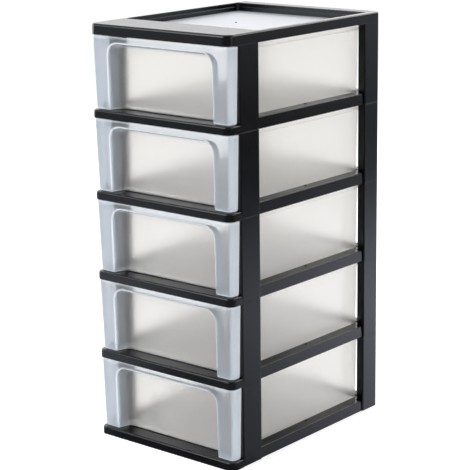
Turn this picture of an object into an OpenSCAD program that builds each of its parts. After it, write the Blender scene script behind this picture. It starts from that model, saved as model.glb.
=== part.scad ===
// Plastic drawer tower: five stacked tiers, each a tray-shaped shelf on four channel posts,
// with a see-through drawer in every tier and a recessed cover on top.
// +X is to the right, +Y to the back, +Z up. The origin is the middle of the base.

/* [Tower] */
// Overall width, across the outer faces of the posts
tower_w = 260; // [250:1:290]
// Overall depth, from the front lips to the back posts
tower_d = 355; // [345:1:380]
// Height of one tier, from the underside of a shelf to the next
tier_h = 121.2; // [110:0.1:140]
// Wall of the black mouldings
frame_t = 2.2; // [2:0.1:2.4]

/* [Shelf] */
// Height of the front lip, which is the height of the shelf's top face
lip_h = 12.2; // [11:0.1:13]
// Depth of the lip in front of the front posts
lip_d = 24.5; // [23:0.5:27]
// Radius of the lip's front corners, seen from above
lip_corner_r = 10; // [6:0.5:14]
// Rounding of the lip's upper edge
lip_edge_r = 3; // [1:0.5:4]
// Height of the ledges along the sides and the back
ledge_h = 17; // [16:0.5:20]
// Distance from the middle to the inner face of a side ledge
ledge_inner_x = 108.6; // [108.4:0.1:109]
// How far the ledge's outer face lies inside the posts' outer faces
ledge_inset = 2.7; // [2.5:0.1:3.2]

/* [Posts] */
// Depth of a front post, front to back
front_post_d = 41.4; // [36:0.1:46]
// Depth of a back post, front to back
back_post_d = 36.3; // [34:0.1:42]
// Thickness of a post, side to side
post_w = 12.6; // [11.5:0.1:13]
// How much an outer face leans in over one tier
post_draft = 0.4; // [0:0.1:0.6]

/* [Top cover] */
// Height of the cover
cover_h = 16; // [15:0.5:20]
// Rounding of the cover's upper edge
cover_edge_r = 4; // [2:0.5:4]
// Flat top in front of the tray recess
cover_front_d = 70.5; // [68:0.5:80]
// Flat top behind the tray recess
cover_back_d = 25.5; // [25:0.5:30]
// Thickness of the loose white panel in the recess
panel_t = 1.8; // [1.2:0.1:2.4]

/* [Drawer] */
// Wall of the drawer
drawer_t = 1.9; // [1.6:0.1:2.2]
// Half width of the drawer's front at its top edge
front_half_w = 129.2; // [128.5:0.1:129.5]
// How far the drawer's front stands forward of the middle, at its top edge
front_y = 175; // [174:0.1:176]
// Half width of the finger recess
grip_half_w = 97.5; // [85:0.5:100]
// Radius of the finger recess's upper corners
grip_r = 18; // [12:1:24]
// Height of the band above the finger recess
grip_band = 9.7; // [8:0.1:16]
// How far the drawer slides out before it meets its stop
drawer_travel = 240; // [150:1:250]

/* [Hidden] */

black_plastic = [0.13, 0.13, 0.14];
white_plastic = [0.9, 0.91, 0.92];
frosted_plastic = [0.8, 0.84, 0.88, 0.5];

tiers = 5;
far = 1;            // how far a cutter runs past a face
fit = 0.15;         // clearance around a spigot in its socket
slot_gap = 0.2;     // clearance around a post's flange in the shelf's slot
skin = 0.01;        // thickness of the thin sections that a hull joins

// Plan of the tower
half_w = tower_w / 2;
front = -tower_d / 2;
back = tower_d / 2;
post_front = front + lip_d;
front_post_end = post_front + front_post_d;
back_post_front = back - back_post_d;
post_inner_x = half_w - post_w;
post_skin_x = half_w - frame_t;
back_corner_r = 4.2;
post_edge_r = 2;
post_foot_chamfer = 0.8;

// Shelf
ledge_outer_x = half_w - ledge_inset;
ledge_back_y = back - ledge_inset;
ledge_edge_r = 1.2;
ledge_inner_y = back - 19.5;
plate_low = lip_h - frame_t;
rib_t = 1.6;
rib_low = 2;
rib_xs = [-54, 0, 54];
rib_ys = [-100, -20, 60, 130];
notch_w = 4;
stop_half_w = 25;
stop_d = 3;
stop_h = 1.4;

// Spigots, which stand on posts and shelves and locate the piece above
spigot_x = half_w - 8.5;
spigot_w = 6.4;
spigot_d = 16;
spigot_h = 7;
spigot_lead = 1.2;
front_spigot_y = post_front + front_post_d / 2;
back_spigot_y = back - 14.1;
socket_h = 10;

// Webs across a post
web_t = 2.2;
mid_web_z = 68;

// Cover
recess_x = half_w - 6;
recess_front = front + cover_front_d;
recess_back = back - cover_back_d;
recess_r = 5;
recess_edge_r = 1;
recess_step = 1.5;
recess_step_z = 9.5;
cover_floor = 1.6;
cover_corner_r = 11.5;
cover_rib_xs = [-90, -45, 0, 45, 90];
panel_gap = 0.4;

// Drawer, measured up from the underside of its shelf
drawer_top = tier_h - 1.5;
runner_z = lip_h + 0.3;
drawer_low_z = lip_h + 0.5;
floor_low_z = lip_h + 2;
body_half_low = 108.1;
body_half_top = 110.3;
body_back_low = 155;
body_back_top = 155.5;
body_corner_r = 7;
body_round = 1.5;
body_front_y = -162;
window_low_y = -151.5;
window_top_y = -154;
front_half_low = front_half_w - 2.6;
front_low_y = 2.5 - front_y;
front_back_y = post_front - 1.6;
front_corner_r = 8;
front_round = 2.5;
grip_top = drawer_top - grip_band;
grip_mid_y = -159;
rim_h = 8.7;
rim_out = 1.6;
ring_w = 4;
ring_slope = 6;
runner_x = 95;
runner_w = 2;
runner_front_y = -140;
catch_back_y = 144;

hull_detail = 32;
round_detail = 64;
$fn = round_detail;

// Outline of a rectangle with one radius on its two front corners and one on its back corners
module round_rect(x0, x1, y0, y1, front_r, back_r) {
    translate([x0, y0 + front_r]) square([x1 - x0, y1 - y0 - front_r - back_r]);
    if (front_r > 0) {
        translate([x0 + front_r, y0]) square([x1 - x0 - 2 * front_r, front_r + skin]);
        for (x = [x0 + front_r, x1 - front_r]) translate([x, y0 + front_r]) circle(front_r);
    }
    if (back_r > 0) {
        translate([x0 + back_r, y1 - back_r - skin]) square([x1 - x0 - 2 * back_r, back_r + skin]);
        for (x = [x0 + back_r, x1 - back_r]) translate([x, y1 - back_r]) circle(back_r);
    }
}

// What a rounded edge leaves out of a square corner: the edge is at the origin, the piece at -x, -y
module edge_sliver(r) {
    difference() {
        translate([-r, -r]) square(r + far);
        translate([-r, -r]) circle(r);
    }
}

// Cutter that rounds the upper edge along one straight side, from a to b
module round_over_side(a, b, r) {
    length = norm(b - a);
    turn = atan2(b[1] - a[1], b[0] - a[0]);
    translate([a[0], a[1], 0])
        rotate([0, 0, turn])
            rotate([90, 0, 90])
                linear_extrude(length) mirror([1, 0]) edge_sliver(r);
}

// Cutter that rounds the upper edge round one corner
module round_over_corner(centre, corner_r, start, r) {
    translate([centre[0], centre[1], 0])
        rotate([0, 0, start])
            rotate_extrude(angle = 90) translate([corner_r, 0]) edge_sliver(r);
}

// The same for a corner of a hole, where the piece lies outside the corner's radius
module round_in_corner(centre, corner_r, start, r) {
    translate([centre[0], centre[1], 0])
        rotate([0, 0, start])
            rotate_extrude(angle = 90) translate([corner_r, 0]) mirror([1, 0]) edge_sliver(r);
}

// ---------------------------------------------------------------- shelf

module shelf_plan_behind_lip(inset = 0) {
    translate([-ledge_outer_x + inset, post_front - slot_gap - skin])
        square([2 * (ledge_outer_x - inset), ledge_back_y - post_front + slot_gap + skin - inset]);
}

module shelf_plan_lip(inset = 0) {
    corner = lip_corner_r - inset;
    round_rect(-half_w + inset, half_w - inset, front + inset, post_front - slot_gap - inset,
        corner, 0);
}

// The low middle of the shelf, where the drawer runs
module shelf_plan_middle(outset = 0) {
    half = ledge_inner_x + outset;
    translate([-half, front + lip_corner_r])
        square([2 * half, ledge_inner_y + outset - front - lip_corner_r]);
}

module lip_round_over() {
    cx = half_w - lip_corner_r;
    cy = front + lip_corner_r;
    end_y = post_front;
    translate([0, 0, lip_h]) {
        round_over_side([-cx, front], [cx, front], lip_edge_r);
        round_over_corner([cx, cy], lip_corner_r, -90, lip_edge_r);
        round_over_corner([-cx, cy], lip_corner_r, 180, lip_edge_r);
        round_over_side([half_w, cy], [half_w, end_y], lip_edge_r);
        round_over_side([-half_w, end_y], [-half_w, cy], lip_edge_r);
    }
}

module ledge_round_over() {
    x = ledge_outer_x;
    y = ledge_back_y;
    translate([0, 0, ledge_h]) {
        round_over_side([x, post_front], [x, y], ledge_edge_r);
        round_over_side([x, y], [-x, y], ledge_edge_r);
        round_over_side([-x, y], [-x, post_front], ledge_edge_r);
    }
}

module shelf_shell() {
    difference() {
        union() {
            difference() {
                linear_extrude(lip_h) shelf_plan_lip();
                lip_round_over();
            }
            linear_extrude(lip_h) shelf_plan_behind_lip();
            linear_extrude(ledge_h) difference() {
                shelf_plan_behind_lip();
                shelf_plan_middle();
            }
        }
        ledge_round_over();
        translate([0, 0, -far]) linear_extrude(plate_low + far) shelf_plan_lip(frame_t);
        translate([0, 0, -far]) linear_extrude(plate_low + far) intersection() {
            shelf_plan_behind_lip(frame_t);
            translate([0, frame_t]) shelf_plan_middle(-frame_t);
        }
        translate([0, 0, -far]) linear_extrude(ledge_h - frame_t + far) difference() {
            shelf_plan_behind_lip(frame_t);
            shelf_plan_middle(frame_t);
        }
    }
}

module shelf_ribs() {
    rib_h = plate_low - rib_low + skin;
    run_x = 2 * ledge_inner_x;
    run_y = ledge_inner_y - front - frame_t;
    for (x = rib_xs)
        translate([x - rib_t / 2, front + frame_t, rib_low]) cube([rib_t, run_y, rib_h]);
    for (y = rib_ys)
        translate([-run_x / 2, y - rib_t / 2, rib_low]) cube([run_x, rib_t, rib_h]);
}

// Plan of the spigot hole or of a wall round it, on the right side
module spigot_plan(y, grow) {
    translate([spigot_x - spigot_w / 2 - grow, y - spigot_d / 2 - grow])
        square([spigot_w + 2 * grow, spigot_d + 2 * grow]);
}

// A hollow stub with a chamfered head, standing at height z
module spigot(y, z) {
    half = spigot_w / 2;
    lead = half - spigot_lead;
    translate([spigot_x, y + spigot_d / 2, z])
        rotate([90, 0, 0])
            linear_extrude(spigot_d) polygon([
                [-half, -skin], [half, -skin], [half, spigot_h - spigot_lead],
                [lead, spigot_h], [-lead, spigot_h], [-half, spigot_h - spigot_lead]
            ]);
}

// Floor and socket under one corner of a shelf or of the cover, on the right side
module corner_pad(y0, y1, spigot_y, x0, x1, height) {
    difference() {
        union() {
            translate([x0, y0, 0]) cube([x1 - x0, y1 - y0, frame_t]);
            linear_extrude(height) intersection() {
                spigot_plan(spigot_y, fit + rib_t);
                translate([x0, y0]) square([x1 - x0, y1 - y0]);
            }
        }
        translate([0, 0, -far]) linear_extrude(height + 2 * far) spigot_plan(spigot_y, fit);
    }
}

module post_slots(y0, y1) {
    for (y = [y0, y1 - frame_t])
        translate([post_inner_x - slot_gap, y - slot_gap, -far])
            cube([post_w + far, frame_t + 2 * slot_gap, ledge_h + 2 * far]);
}

// The ledge ends in a V beside the back post, open at the top
module ledge_notch() {
    y = back_post_front;
    translate([post_inner_x, 0, 0])
        rotate([90, 0, 90])
            linear_extrude(post_w) polygon([
                [y, -far], [y, ledge_h + far], [y - notch_w, ledge_h + far],
                [y - notch_w, ledge_h], [y - slot_gap, 0], [y - slot_gap, -far]
            ]);
}

module shelf_right_details() {
    x0 = ledge_inner_x + frame_t - skin;
    x1 = ledge_outer_x - frame_t + skin;
    corner_pad(post_front + frame_t + slot_gap, front_post_end - frame_t - slot_gap,
        front_spigot_y, x0, x1, socket_h);
    corner_pad(back_post_front + frame_t + slot_gap, back - frame_t - ledge_inset,
        back_spigot_y, x0, x1, socket_h);
    spigot(front_spigot_y, ledge_h);
    spigot(back_spigot_y, ledge_h);
}

module shelf_right_cuts() {
    post_slots(post_front, front_post_end);
    post_slots(back_post_front, back);
    ledge_notch();
}

module shelf(tier) {
    stop_y = catch_back_y - runner_w - drawer_travel - 0.5;
    color(black_plastic)
        translate([0, 0, tier * tier_h]) difference() {
            union() {
                shelf_shell();
                shelf_ribs();
                for (side = [0, 1]) mirror([side, 0, 0]) shelf_right_details();
                translate([-stop_half_w, stop_y - stop_d, lip_h - skin])
                    cube([2 * stop_half_w, stop_d, stop_h + skin]);
            }
            for (side = [0, 1]) mirror([side, 0, 0]) shelf_right_cuts();
        }
}

// ---------------------------------------------------------------- posts

// Plan of a post on the right side, open towards the middle of the tower
module post_plan(y0, y1, front_r, back_r) {
    r = max(front_r, back_r);
    translate([post_inner_x, y0]) square([post_w - r, y1 - y0]);
    translate([post_inner_x + skin, y0 + front_r]) square([post_w - skin, y1 - y0 - front_r - back_r]);
    translate([half_w - r - skin, y0]) square([r - front_r + skin, front_r + skin]);
    translate([half_w - r - skin, y1 - back_r - skin]) square([r - back_r + skin, back_r + skin]);
    translate([half_w - front_r, y0 + front_r]) circle(front_r);
    translate([half_w - back_r, y1 - back_r]) circle(back_r);
}

// Side view of a post: its outer face leans in towards the top, and its foot has a chamfer
module post_side() {
    polygon([
        [post_inner_x - far, 0], [half_w - post_foot_chamfer, 0], [half_w, post_foot_chamfer],
        [half_w - post_draft, tier_h], [post_inner_x - far, tier_h]
    ]);
}

module post_web(y0, y1, z) {
    translate([post_inner_x, y0 + skin, z])
        cube([post_skin_x - post_inner_x + skin, y1 - y0 - 2 * skin, web_t]);
}

module right_post(y0, y1, front_r, back_r, spigot_y) {
    difference() {
        union() {
            intersection() {
                difference() {
                    linear_extrude(tier_h) post_plan(y0, y1, front_r, back_r);
                    translate([post_inner_x - far, y0 + frame_t, -far])
                        cube([post_w - frame_t + far, y1 - y0 - 2 * frame_t, tier_h + 2 * far]);
                }
                translate([0, y1 + far, 0])
                    rotate([90, 0, 0]) linear_extrude(y1 - y0 + 2 * far) post_side();
            }
            post_web(y0, y1, ledge_h);
            post_web(y0, y1, mid_web_z);
            post_web(y0, y1, tier_h - web_t);
            spigot(spigot_y, tier_h);
        }
        translate([0, 0, ledge_h - far])
            linear_extrude(web_t + 2 * far) spigot_plan(spigot_y, fit);
    }
}

module front_post(tier, side) {
    color(black_plastic)
        translate([0, 0, tier * tier_h])
            mirror([side, 0, 0])
                right_post(post_front, front_post_end, post_edge_r, post_edge_r, front_spigot_y);
}

module back_post(tier, side) {
    color(black_plastic)
        translate([0, 0, tier * tier_h])
            mirror([side, 0, 0])
                right_post(back_post_front, back, post_edge_r, back_corner_r, back_spigot_y);
}

// ---------------------------------------------------------------- top cover and panel

module recess_plan(grow) {
    round_rect(-recess_x - grow, recess_x + grow, recess_front - grow, recess_back + grow,
        recess_r + grow, recess_r + grow);
}

module cover_plan(inset = 0) {
    round_rect(-half_w + inset, half_w - inset, front + inset, back - inset,
        cover_corner_r - inset, back_corner_r - inset);
}

module cover_round_over() {
    fx = half_w - cover_corner_r;
    fy = front + cover_corner_r;
    bx = half_w - back_corner_r;
    by = back - back_corner_r;
    r = cover_edge_r;
    translate([0, 0, cover_h]) {
        round_over_side([-fx, front], [fx, front], r);
        round_over_side([half_w, fy], [half_w, by], r);
        round_over_side([bx, back], [-bx, back], r);
        round_over_side([-half_w, by], [-half_w, fy], r);
        round_over_corner([fx, fy], cover_corner_r, -90, r);
        round_over_corner([bx, by], back_corner_r, 0, r);
        round_over_corner([-bx, by], back_corner_r, 90, r);
        round_over_corner([-fx, fy], cover_corner_r, 180, r);
    }
}

module recess_round_over() {
    x = recess_x - recess_r;
    y0 = recess_front + recess_r;
    y1 = recess_back - recess_r;
    r = recess_edge_r;
    translate([0, 0, cover_h]) {
        round_over_side([x, recess_front], [-x, recess_front], r);
        round_over_side([-recess_x, y0], [-recess_x, y1], r);
        round_over_side([-x, recess_back], [x, recess_back], r);
        round_over_side([recess_x, y1], [recess_x, y0], r);
        round_in_corner([x, y0], recess_r, -90, r);
        round_in_corner([x, y1], recess_r, 0, r);
        round_in_corner([-x, y1], recess_r, 90, r);
        round_in_corner([-x, y0], recess_r, 180, r);
    }
}

module cover_ribs() {
    rib_h = cover_h - frame_t - cover_floor + skin;
    for (x = cover_rib_xs) {
        translate([x - rib_t / 2, front + frame_t - skin, cover_floor])
            cube([rib_t, cover_front_d - frame_t, rib_h]);
        translate([x - rib_t / 2, recess_back, cover_floor])
            cube([rib_t, cover_back_d - frame_t, rib_h]);
    }
}

module cover_shell() {
    lower = -recess_step;
    difference() {
        linear_extrude(cover_h) cover_plan();
        cover_round_over();
        translate([0, 0, -far]) linear_extrude(recess_step_z - frame_t + far) difference() {
            cover_plan(frame_t);
            recess_plan(lower + frame_t);
        }
        translate([0, 0, -far]) linear_extrude(cover_h - frame_t + far) difference() {
            cover_plan(frame_t);
            recess_plan(frame_t);
        }
    }
}

module top_cover() {
    x0 = post_inner_x;
    x1 = post_skin_x + skin;
    color(black_plastic)
        translate([0, 0, tiers * tier_h]) difference() {
            union() {
                cover_shell();
                cover_ribs();
                for (side = [0, 1]) mirror([side, 0, 0]) {
                    corner_pad(post_front + frame_t, front_post_end - frame_t,
                        front_spigot_y, x0, x1, socket_h);
                    corner_pad(recess_back, back - frame_t, back_spigot_y, x0, x1, socket_h);
                }
            }
            recess_round_over();
            translate([0, 0, recess_step_z]) linear_extrude(cover_h) recess_plan(0);
            translate([0, 0, cover_floor]) linear_extrude(cover_h) recess_plan(-recess_step);
        }
}

module top_panel() {
    z = tiers * tier_h + cover_floor;
    color(white_plastic)
        translate([0, 0, z])
            linear_extrude(panel_t) recess_plan(-recess_step - panel_gap);
}

// ---------------------------------------------------------------- drawer

// A thin level section of the drawer, for a hull
module level(half, y0, y1, z, front_r, back_r) {
    translate([0, 0, z]) linear_extrude(skin) round_rect(-half, half, y0, y1, front_r, back_r);
}

// The box of the drawer, grown or shrunk by inset, with its floor at z0
module body_form(inset, z0, z1) {
    r = body_corner_r - inset;
    low = body_round + inset;
    hull($fn = hull_detail) {
        level(body_half_low - low, body_front_y, body_back_low - low, z0, 0, r - body_round);
        level(body_half_low - inset, body_front_y, body_back_low - inset, z0 + body_round, 0, r);
        level(body_half_top - inset, body_front_y, body_back_top - inset, z1, 0, r);
    }
}

// The block that carries the two lobes and the band between them
module front_form(inset, z0, z1) {
    r = front_corner_r - inset;
    low = front_round + inset;
    y1 = front_back_y - inset;
    hull($fn = hull_detail) {
        level(front_half_low - low, front_low_y + low, y1, z0, r - front_round, 0);
        level(front_half_low - inset, front_low_y + inset, y1, z0 + front_round, r, 0);
        level(front_half_w - inset, -front_y + inset, y1, z1, r, 0);
    }
}

// A thin upright section of the finger recess: round at the top, running out at the bottom
module arch(half, top, r, y) {
    translate([0, y + skin, 0]) rotate([90, 0, 0]) linear_extrude(skin) {
        translate([-half, 0]) square([2 * half, top - r]);
        translate([-half + r, 0]) square([2 * (half - r), top]);
        for (x = [-half + r, half - r]) translate([x, top - r]) circle(r);
    }
}

// The finger recess: an arch from the front back to the window
module grip_form(grow) {
    depth_mid = 2;
    depth_in = 6;
    lean = (window_low_y - window_top_y) / (grip_top - floor_low_z);
    hull($fn = hull_detail) {
        arch(grip_half_w + grow, grip_top + grow, grip_r + grow, -front_y - 2 * far);
        arch(grip_half_w - depth_mid + grow, grip_top - depth_mid + grow, grip_r + grow, grip_mid_y);
        multmatrix([[1, 0, 0, 0], [0, 1, -lean, lean * grip_top], [0, 0, 1, 0], [0, 0, 0, 1]])
            arch(grip_half_w - depth_in + grow, grip_top - depth_in + grow, grip_r - 4 + grow,
                window_top_y + grow);
    }
}

module drawer_rim() {
    half = body_half_top + rim_out;
    translate([0, 0, drawer_top - rim_h])
        linear_extrude(rim_h)
            round_rect(-half, half, front_back_y - rim_out, body_back_top + rim_out,
                0, body_corner_r + rim_out);
}

// The floor is raised inside a ring, on which the tub stands; the ring's inner side is a slope
module raised_floor() {
    hull($fn = hull_detail) {
        for (step = [0, 1]) {
            inset = body_round + ring_w + ring_slope * step;
            level(body_half_low - inset, window_low_y + inset, body_back_low - inset,
                step == 0 ? drawer_low_z - skin : floor_low_z - skin,
                body_corner_r, body_corner_r);
        }
    }
}

module drawer_runners() {
    length = catch_back_y - runner_front_y;
    high = floor_low_z - runner_z + drawer_t / 2;
    for (x = [-runner_x - runner_w / 2, runner_x - runner_w / 2])
        translate([x, runner_front_y, runner_z]) cube([runner_w, length, high]);
    translate([-runner_x, catch_back_y - runner_w, runner_z]) cube([2 * runner_x, runner_w, high]);
}

module drawer(tier) {
    color(frosted_plastic)
        translate([0, 0, tier * tier_h]) {
            difference() {
                union() {
                    body_form(0, drawer_low_z, drawer_top - skin);
                    front_form(0, drawer_low_z, drawer_top - skin);
                    drawer_rim();
                }
                raised_floor();
                grip_form(0);
                difference() {
                    union() {
                        body_form(drawer_t, floor_low_z + drawer_t, drawer_top + far);
                        front_form(drawer_t, drawer_low_z + drawer_t, drawer_top + far);
                    }
                    grip_form(drawer_t);
                }
            }
            drawer_runners();
        }
}

shelf(0);  // shelf_1
shelf(1);  // shelf_2
shelf(2);  // shelf_3
shelf(3);  // shelf_4
shelf(4);  // shelf_5
front_post(0, 1);  // front_left_post_1
front_post(1, 1);  // front_left_post_2
front_post(2, 1);  // front_left_post_3
front_post(3, 1);  // front_left_post_4
front_post(4, 1);  // front_left_post_5
front_post(0, 0);  // front_right_post_1
front_post(1, 0);  // front_right_post_2
front_post(2, 0);  // front_right_post_3
front_post(3, 0);  // front_right_post_4
front_post(4, 0);  // front_right_post_5
back_post(0, 1);  // back_left_post_1
back_post(1, 1);  // back_left_post_2
back_post(2, 1);  // back_left_post_3
back_post(3, 1);  // back_left_post_4
back_post(4, 1);  // back_left_post_5
back_post(0, 0);  // back_right_post_1
back_post(1, 0);  // back_right_post_2
back_post(2, 0);  // back_right_post_3
back_post(3, 0);  // back_right_post_4
back_post(4, 0);  // back_right_post_5
drawer(0);  // drawer_1
drawer(1);  // drawer_2
drawer(2);  // drawer_3
drawer(3);  // drawer_4
drawer(4);  // drawer_5
top_cover();
top_panel();
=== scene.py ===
# %% [markdown]
# # A plastic drawer tower
# Five black tiers stand on each other and carry five see-through drawers, with a tray on top.
# The black mouldings come finished from the frame, so they only need their surfaces. The drawers
# are thin translucent mouldings whose soft roundings catch the light, so they are modelled here.
# Lengths on the tower are in millimetres and are turned to metres where a mesh is made. The
# studio round it, its floor and its lamps, is laid out in metres.

# %% Load the frame
import math

import bmesh
import bpy
from mathutils import Matrix, Vector


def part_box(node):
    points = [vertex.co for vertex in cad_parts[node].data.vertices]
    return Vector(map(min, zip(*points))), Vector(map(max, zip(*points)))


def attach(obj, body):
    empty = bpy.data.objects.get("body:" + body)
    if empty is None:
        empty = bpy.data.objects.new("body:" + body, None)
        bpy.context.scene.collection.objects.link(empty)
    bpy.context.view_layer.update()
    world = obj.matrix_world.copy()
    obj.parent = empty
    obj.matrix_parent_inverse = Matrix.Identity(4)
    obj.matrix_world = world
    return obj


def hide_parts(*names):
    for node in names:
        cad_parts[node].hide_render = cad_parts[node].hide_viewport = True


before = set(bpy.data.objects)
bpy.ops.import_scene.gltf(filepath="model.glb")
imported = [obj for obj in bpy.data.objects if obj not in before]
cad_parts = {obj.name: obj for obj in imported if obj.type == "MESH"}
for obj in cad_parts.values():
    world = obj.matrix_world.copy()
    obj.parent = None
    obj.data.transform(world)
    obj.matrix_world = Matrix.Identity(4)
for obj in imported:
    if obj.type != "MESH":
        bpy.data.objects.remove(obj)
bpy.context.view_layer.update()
MM = 0.001
TIERS = 5
TIER_H = (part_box("shelf_2")[0].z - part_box("shelf_1")[0].z) / MM
print(f"{len(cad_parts)} nodes, one tier is {TIER_H:.1f} mm high")

# %% [markdown]
# ## Camera
# A tall object seen from near by leans and narrows towards its foot. So a long lens stands well
# back from the tower, a little above its top and to its right, and upright edges stay nearly
# parallel. A constraint could aim the camera at the tower, but it leaves no slight roll.
# So it is turned by three angles: round the tower, down towards it, and that roll.

# %% The camera
CAMERA_MM = (1552.7, -1883.6, 902.9)
AZIMUTH, ELEVATION, ROLL = 39.646, 12.796, -0.672
LENS_MM, SENSOR_MM = 127.7, 36
FRAMING_SHIFT = -0.0771


def camera_axes(azimuth, elevation, roll):
    """The camera's right, up and backward directions."""
    a, e, r = (math.radians(v) for v in (azimuth, elevation, roll))
    backward = Vector((math.sin(a) * math.cos(e), -math.cos(a) * math.cos(e), math.sin(e)))
    level = Vector((math.cos(a), math.sin(a), 0))
    upward = backward.cross(level)
    right = math.cos(r) * level + math.sin(r) * upward
    return right, backward.cross(right), backward


camera_data = bpy.data.cameras.new("camera")
camera_data.lens = LENS_MM
camera_data.sensor_width = SENSOR_MM
camera_data.shift_y = FRAMING_SHIFT
camera = bpy.data.objects.new("camera", camera_data)
bpy.context.scene.collection.objects.link(camera)
turned = Matrix(camera_axes(AZIMUTH, ELEVATION, ROLL)).transposed().to_4x4()
camera.matrix_world = Matrix.Translation(Vector(CAMERA_MM) * MM) @ turned
bpy.context.scene.camera = camera
print(f"the camera is {(Vector(CAMERA_MM) * MM).length:.2f} m from the foot of the tower")

# %% [markdown]
# ## Colours and material nodes
# Colours are chosen as they look on a screen and turned to the linear values that light needs.
# Materials could be drawn by hand in the node editor, but a script is easier to read again. One
# helper adds a node, sets its inputs and links them, so a material reads as a short list.

# %% Colours
def srgb(code):
    """A colour as #rrggbb, turned to linear red, green, blue and alpha by the sRGB standard."""
    parts = [int(code[i:i + 2], 16) / 255 for i in (1, 3, 5)]
    return tuple(p / 12.92 if p <= 0.04045 else ((p + 0.055) / 1.055) ** 2.4 for p in parts) + (1.0,)


PLAIN_WHITE = (1.0, 1.0, 1.0, 1.0)
print(f"a mid grey, #808080, gives back {srgb('#808080')[0]:.0%} of the light and not half of it")


# %% Nodes
def add(tree, kind, settings=None, **sockets):
    """Adds a node and hands it back. settings are its properties. Every other argument names an
    input, or its number as in0, and gives it a value, an output, or a node's first output."""
    node = tree.nodes.new(kind)
    for name, value in (settings or {}).items():
        setattr(node, name, value)
    for name, value in sockets.items():
        key = int(name[2:]) if name.startswith("in") and name[2:].isdigit() else name.replace("_", " ")
        if isinstance(value, bpy.types.Node):
            value = next(output for output in value.outputs if output.enabled)
        if isinstance(value, bpy.types.NodeSocket):
            tree.links.new(value, node.inputs[key])
        else:
            node.inputs[key].default_value = value
    return node


def ends(low, high, at_low, at_high):
    """The four ends of a Map Range node: what it gives at a low value, and at a high one."""
    return {"From_Min": low, "From_Max": high, "To_Min": at_low, "To_Max": at_high}


# Settings of the Math and Mix nodes, under plain names.
MATHS = ("MULTIPLY", "ADD", "SUBTRACT", "DIVIDE", "MAXIMUM", "ABSOLUTE")
TIMES, PLUS, MINUS, OVER, LARGER, EITHER_WAY = ({"operation": name} for name in MATHS)
NUMBERS, COLOURS = ({"data_type": name} for name in ("FLOAT", "RGBA"))


def new_material(name):
    """An empty material and its node tree."""
    material = bpy.data.materials.new(name)
    material.use_nodes = True
    material.node_tree.nodes.clear()
    return material, material.node_tree


def per_metre(size_mm):
    """The scale of a texture whose features are this many millimetres across."""
    return 1 / (size_mm * MM)


print(f"a grain of 1 mm has the scale {per_metre(1):.0f}")

# %% [markdown]
# ## Black polypropylene
# The shelves, posts and cover are injection-moulded polypropylene, dyed through. The steel mould
# was spark-eroded to a fine satin, so the plastic is near black with soft, slightly broken
# reflections. One even roughness would look like paint. So the skin has what moulding leaves on
# it: a faint cloudiness, a fine grain, and the very long waves that thin walls take as they cool.
# The real grain is about a tenth of a millimetre. That is too fine to show from here, so it is
# drawn at 0.7 mm. Edges of moulded parts are never knife-sharp, but those of the frame are, so the
# Bevel node rounds the light on them and leaves their shape as it is.

# %% Black polypropylene
PP_IOR = 1.49
CLOUD_MM, WAVE_MM, GRAIN_MM = 45, 120, 0.7
WAVE_DEPTH_MM, GRAIN_DEPTH_MM = 0.25, 0.003
SATIN = {"To_Min": 0.16, "To_Max": 0.24}  # the roughness, from the clearest to the cloudiest places
EDGE_ROUND_MM = 0.8


def black_polypropylene():
    """Dyed-through black, satin from a spark-eroded mould: soft reflections, no colour of its own."""
    material, tree = new_material("black_polypropylene")
    place = add(tree, "ShaderNodeTexCoord").outputs["Object"]
    cloud = add(tree, "ShaderNodeTexNoise", Vector=place, Scale=per_metre(CLOUD_MM), Detail=3.0)
    grain = add(tree, "ShaderNodeTexNoise", Vector=place, Scale=per_metre(GRAIN_MM), Detail=2.0)
    wave = add(tree, "ShaderNodeTexNoise", Vector=place, Scale=per_metre(WAVE_MM), Detail=0.0)
    colour = add(tree, "ShaderNodeMix", COLOURS, Factor=cloud, A=srgb("#08090a"), B=srgb("#0e0f10"))
    gloss = add(tree, "ShaderNodeMapRange", Value=cloud, **SATIN)
    edges = add(tree, "ShaderNodeBevel", {"samples": 6}, Radius=EDGE_ROUND_MM * MM)
    waves = add(tree, "ShaderNodeBump", Height=wave, Strength=1.0, Distance=WAVE_DEPTH_MM * MM,
                Normal=edges)
    skin = add(tree, "ShaderNodeBump", Height=grain, Strength=1.0, Distance=GRAIN_DEPTH_MM * MM,
               Normal=waves)
    surface = add(tree, "ShaderNodeBsdfPrincipled", Base_Color=colour, Roughness=gloss, IOR=PP_IOR,
                  Normal=skin)
    add(tree, "ShaderNodeOutputMaterial", Surface=surface)
    return material


BLACK = black_polypropylene()
print(f"{BLACK.name} has {len(BLACK.node_tree.nodes)} nodes")

# %% [markdown]
# ## Frosted polypropylene
# The drawers are the same plastic without dye. Natural polypropylene is milky: light goes through
# it but is spread on the way, so what lies against the wall reads clearly and what lies further
# back melts into a pale haze. The milk is tiny crystals all through the wall. A volume could
# scatter light on them, but in so thin a wall that is slow and full of noise. So one share of the
# light passes through a rough face, which gives the haze, and the rest is spread, which gives the
# milk. A rough wall of full refractive index traps light between its two faces and turns grey. So
# the body's index is low, and a coat with the plastic's real index carries the satin shine.
#
# ### How much light a wall passes
# The tub's walls are clear, and so is the face of the front block, because light crosses them
# straight. It crosses the block's other walls at a slant, through more plastic, so those are
# milkier. Floors are milkier still, and edges that turn sharply are the milkiest. The mesh marks
# those edges with a value called "edge".

# %% The share of light that a wall passes
EDGE = "edge"
TUB_SHARE, FACE_SHARE, WALL_SHARE, FLOOR_SHARE, EDGE_SHARE = 0.90, 0.92, 0.66, 0.3, 0.25
LOOKS_FORWARD = {"From_Min": 0.8, "From_Max": 0.97}  # how squarely a face looks to the front
LIES_FLAT = {"From_Min": 0.7, "From_Max": 0.95}  # how level it lies
SLANT_BLEND, SLANT_LOSS = 0.35, 0.15  # and what it loses where it is seen at a slant


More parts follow.
